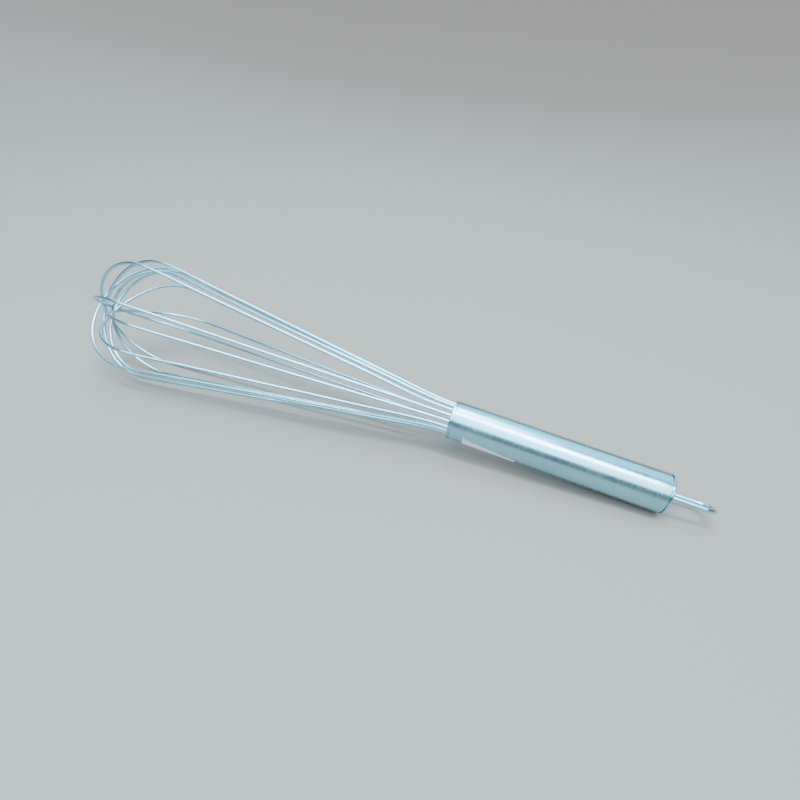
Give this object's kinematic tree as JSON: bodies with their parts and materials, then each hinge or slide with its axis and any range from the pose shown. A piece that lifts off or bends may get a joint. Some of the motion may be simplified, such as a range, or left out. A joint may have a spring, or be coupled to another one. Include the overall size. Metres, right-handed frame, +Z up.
{
  "type": "balloon whisk",
  "caption": "Long hand whisk with crossed wire loops forming a rounded balloon, a capped steel tube handle and a fixed U-shaped hanging loop",
  "frame": {"origin": "centre of the whisk's footprint, on the plane it rests on", "axes": "+Z up from the plane it lies on; the handle points toward +X and the balloon toward -X, tipped 5 degrees so that the handle's rear rim and the two lowest wires touch Z = 0"},
  "size_m": [0.3858, 0.069, 0.0741],
  "materials": {
    "wire": "bright drawn stainless wire",
    "handle": "satin stainless tube",
    "cap": "satin stainless",
    "bail": "bright stainless wire",
    "potting": "cast resin",
    "anchor": "plain stainless",
    "label": "blank white sticker"
  },
  "bodies": {
    "root": {"wire_loop_1": "wire", "wire_loop_2": "wire", "wire_loop_3": "wire", "wire_loop_4": "wire", "wire_loop_5": "wire", "wire_loop_6": "wire", "wire_loop_7": "wire", "wire_loop_8": "wire", "handle_tube": "handle", "front_cap": "cap", "end_cap": "cap", "hanging_loop": "bail", "wire_potting": "potting", "bail_anchor": "anchor", "label": "label"}
  },
  "joints": []
}
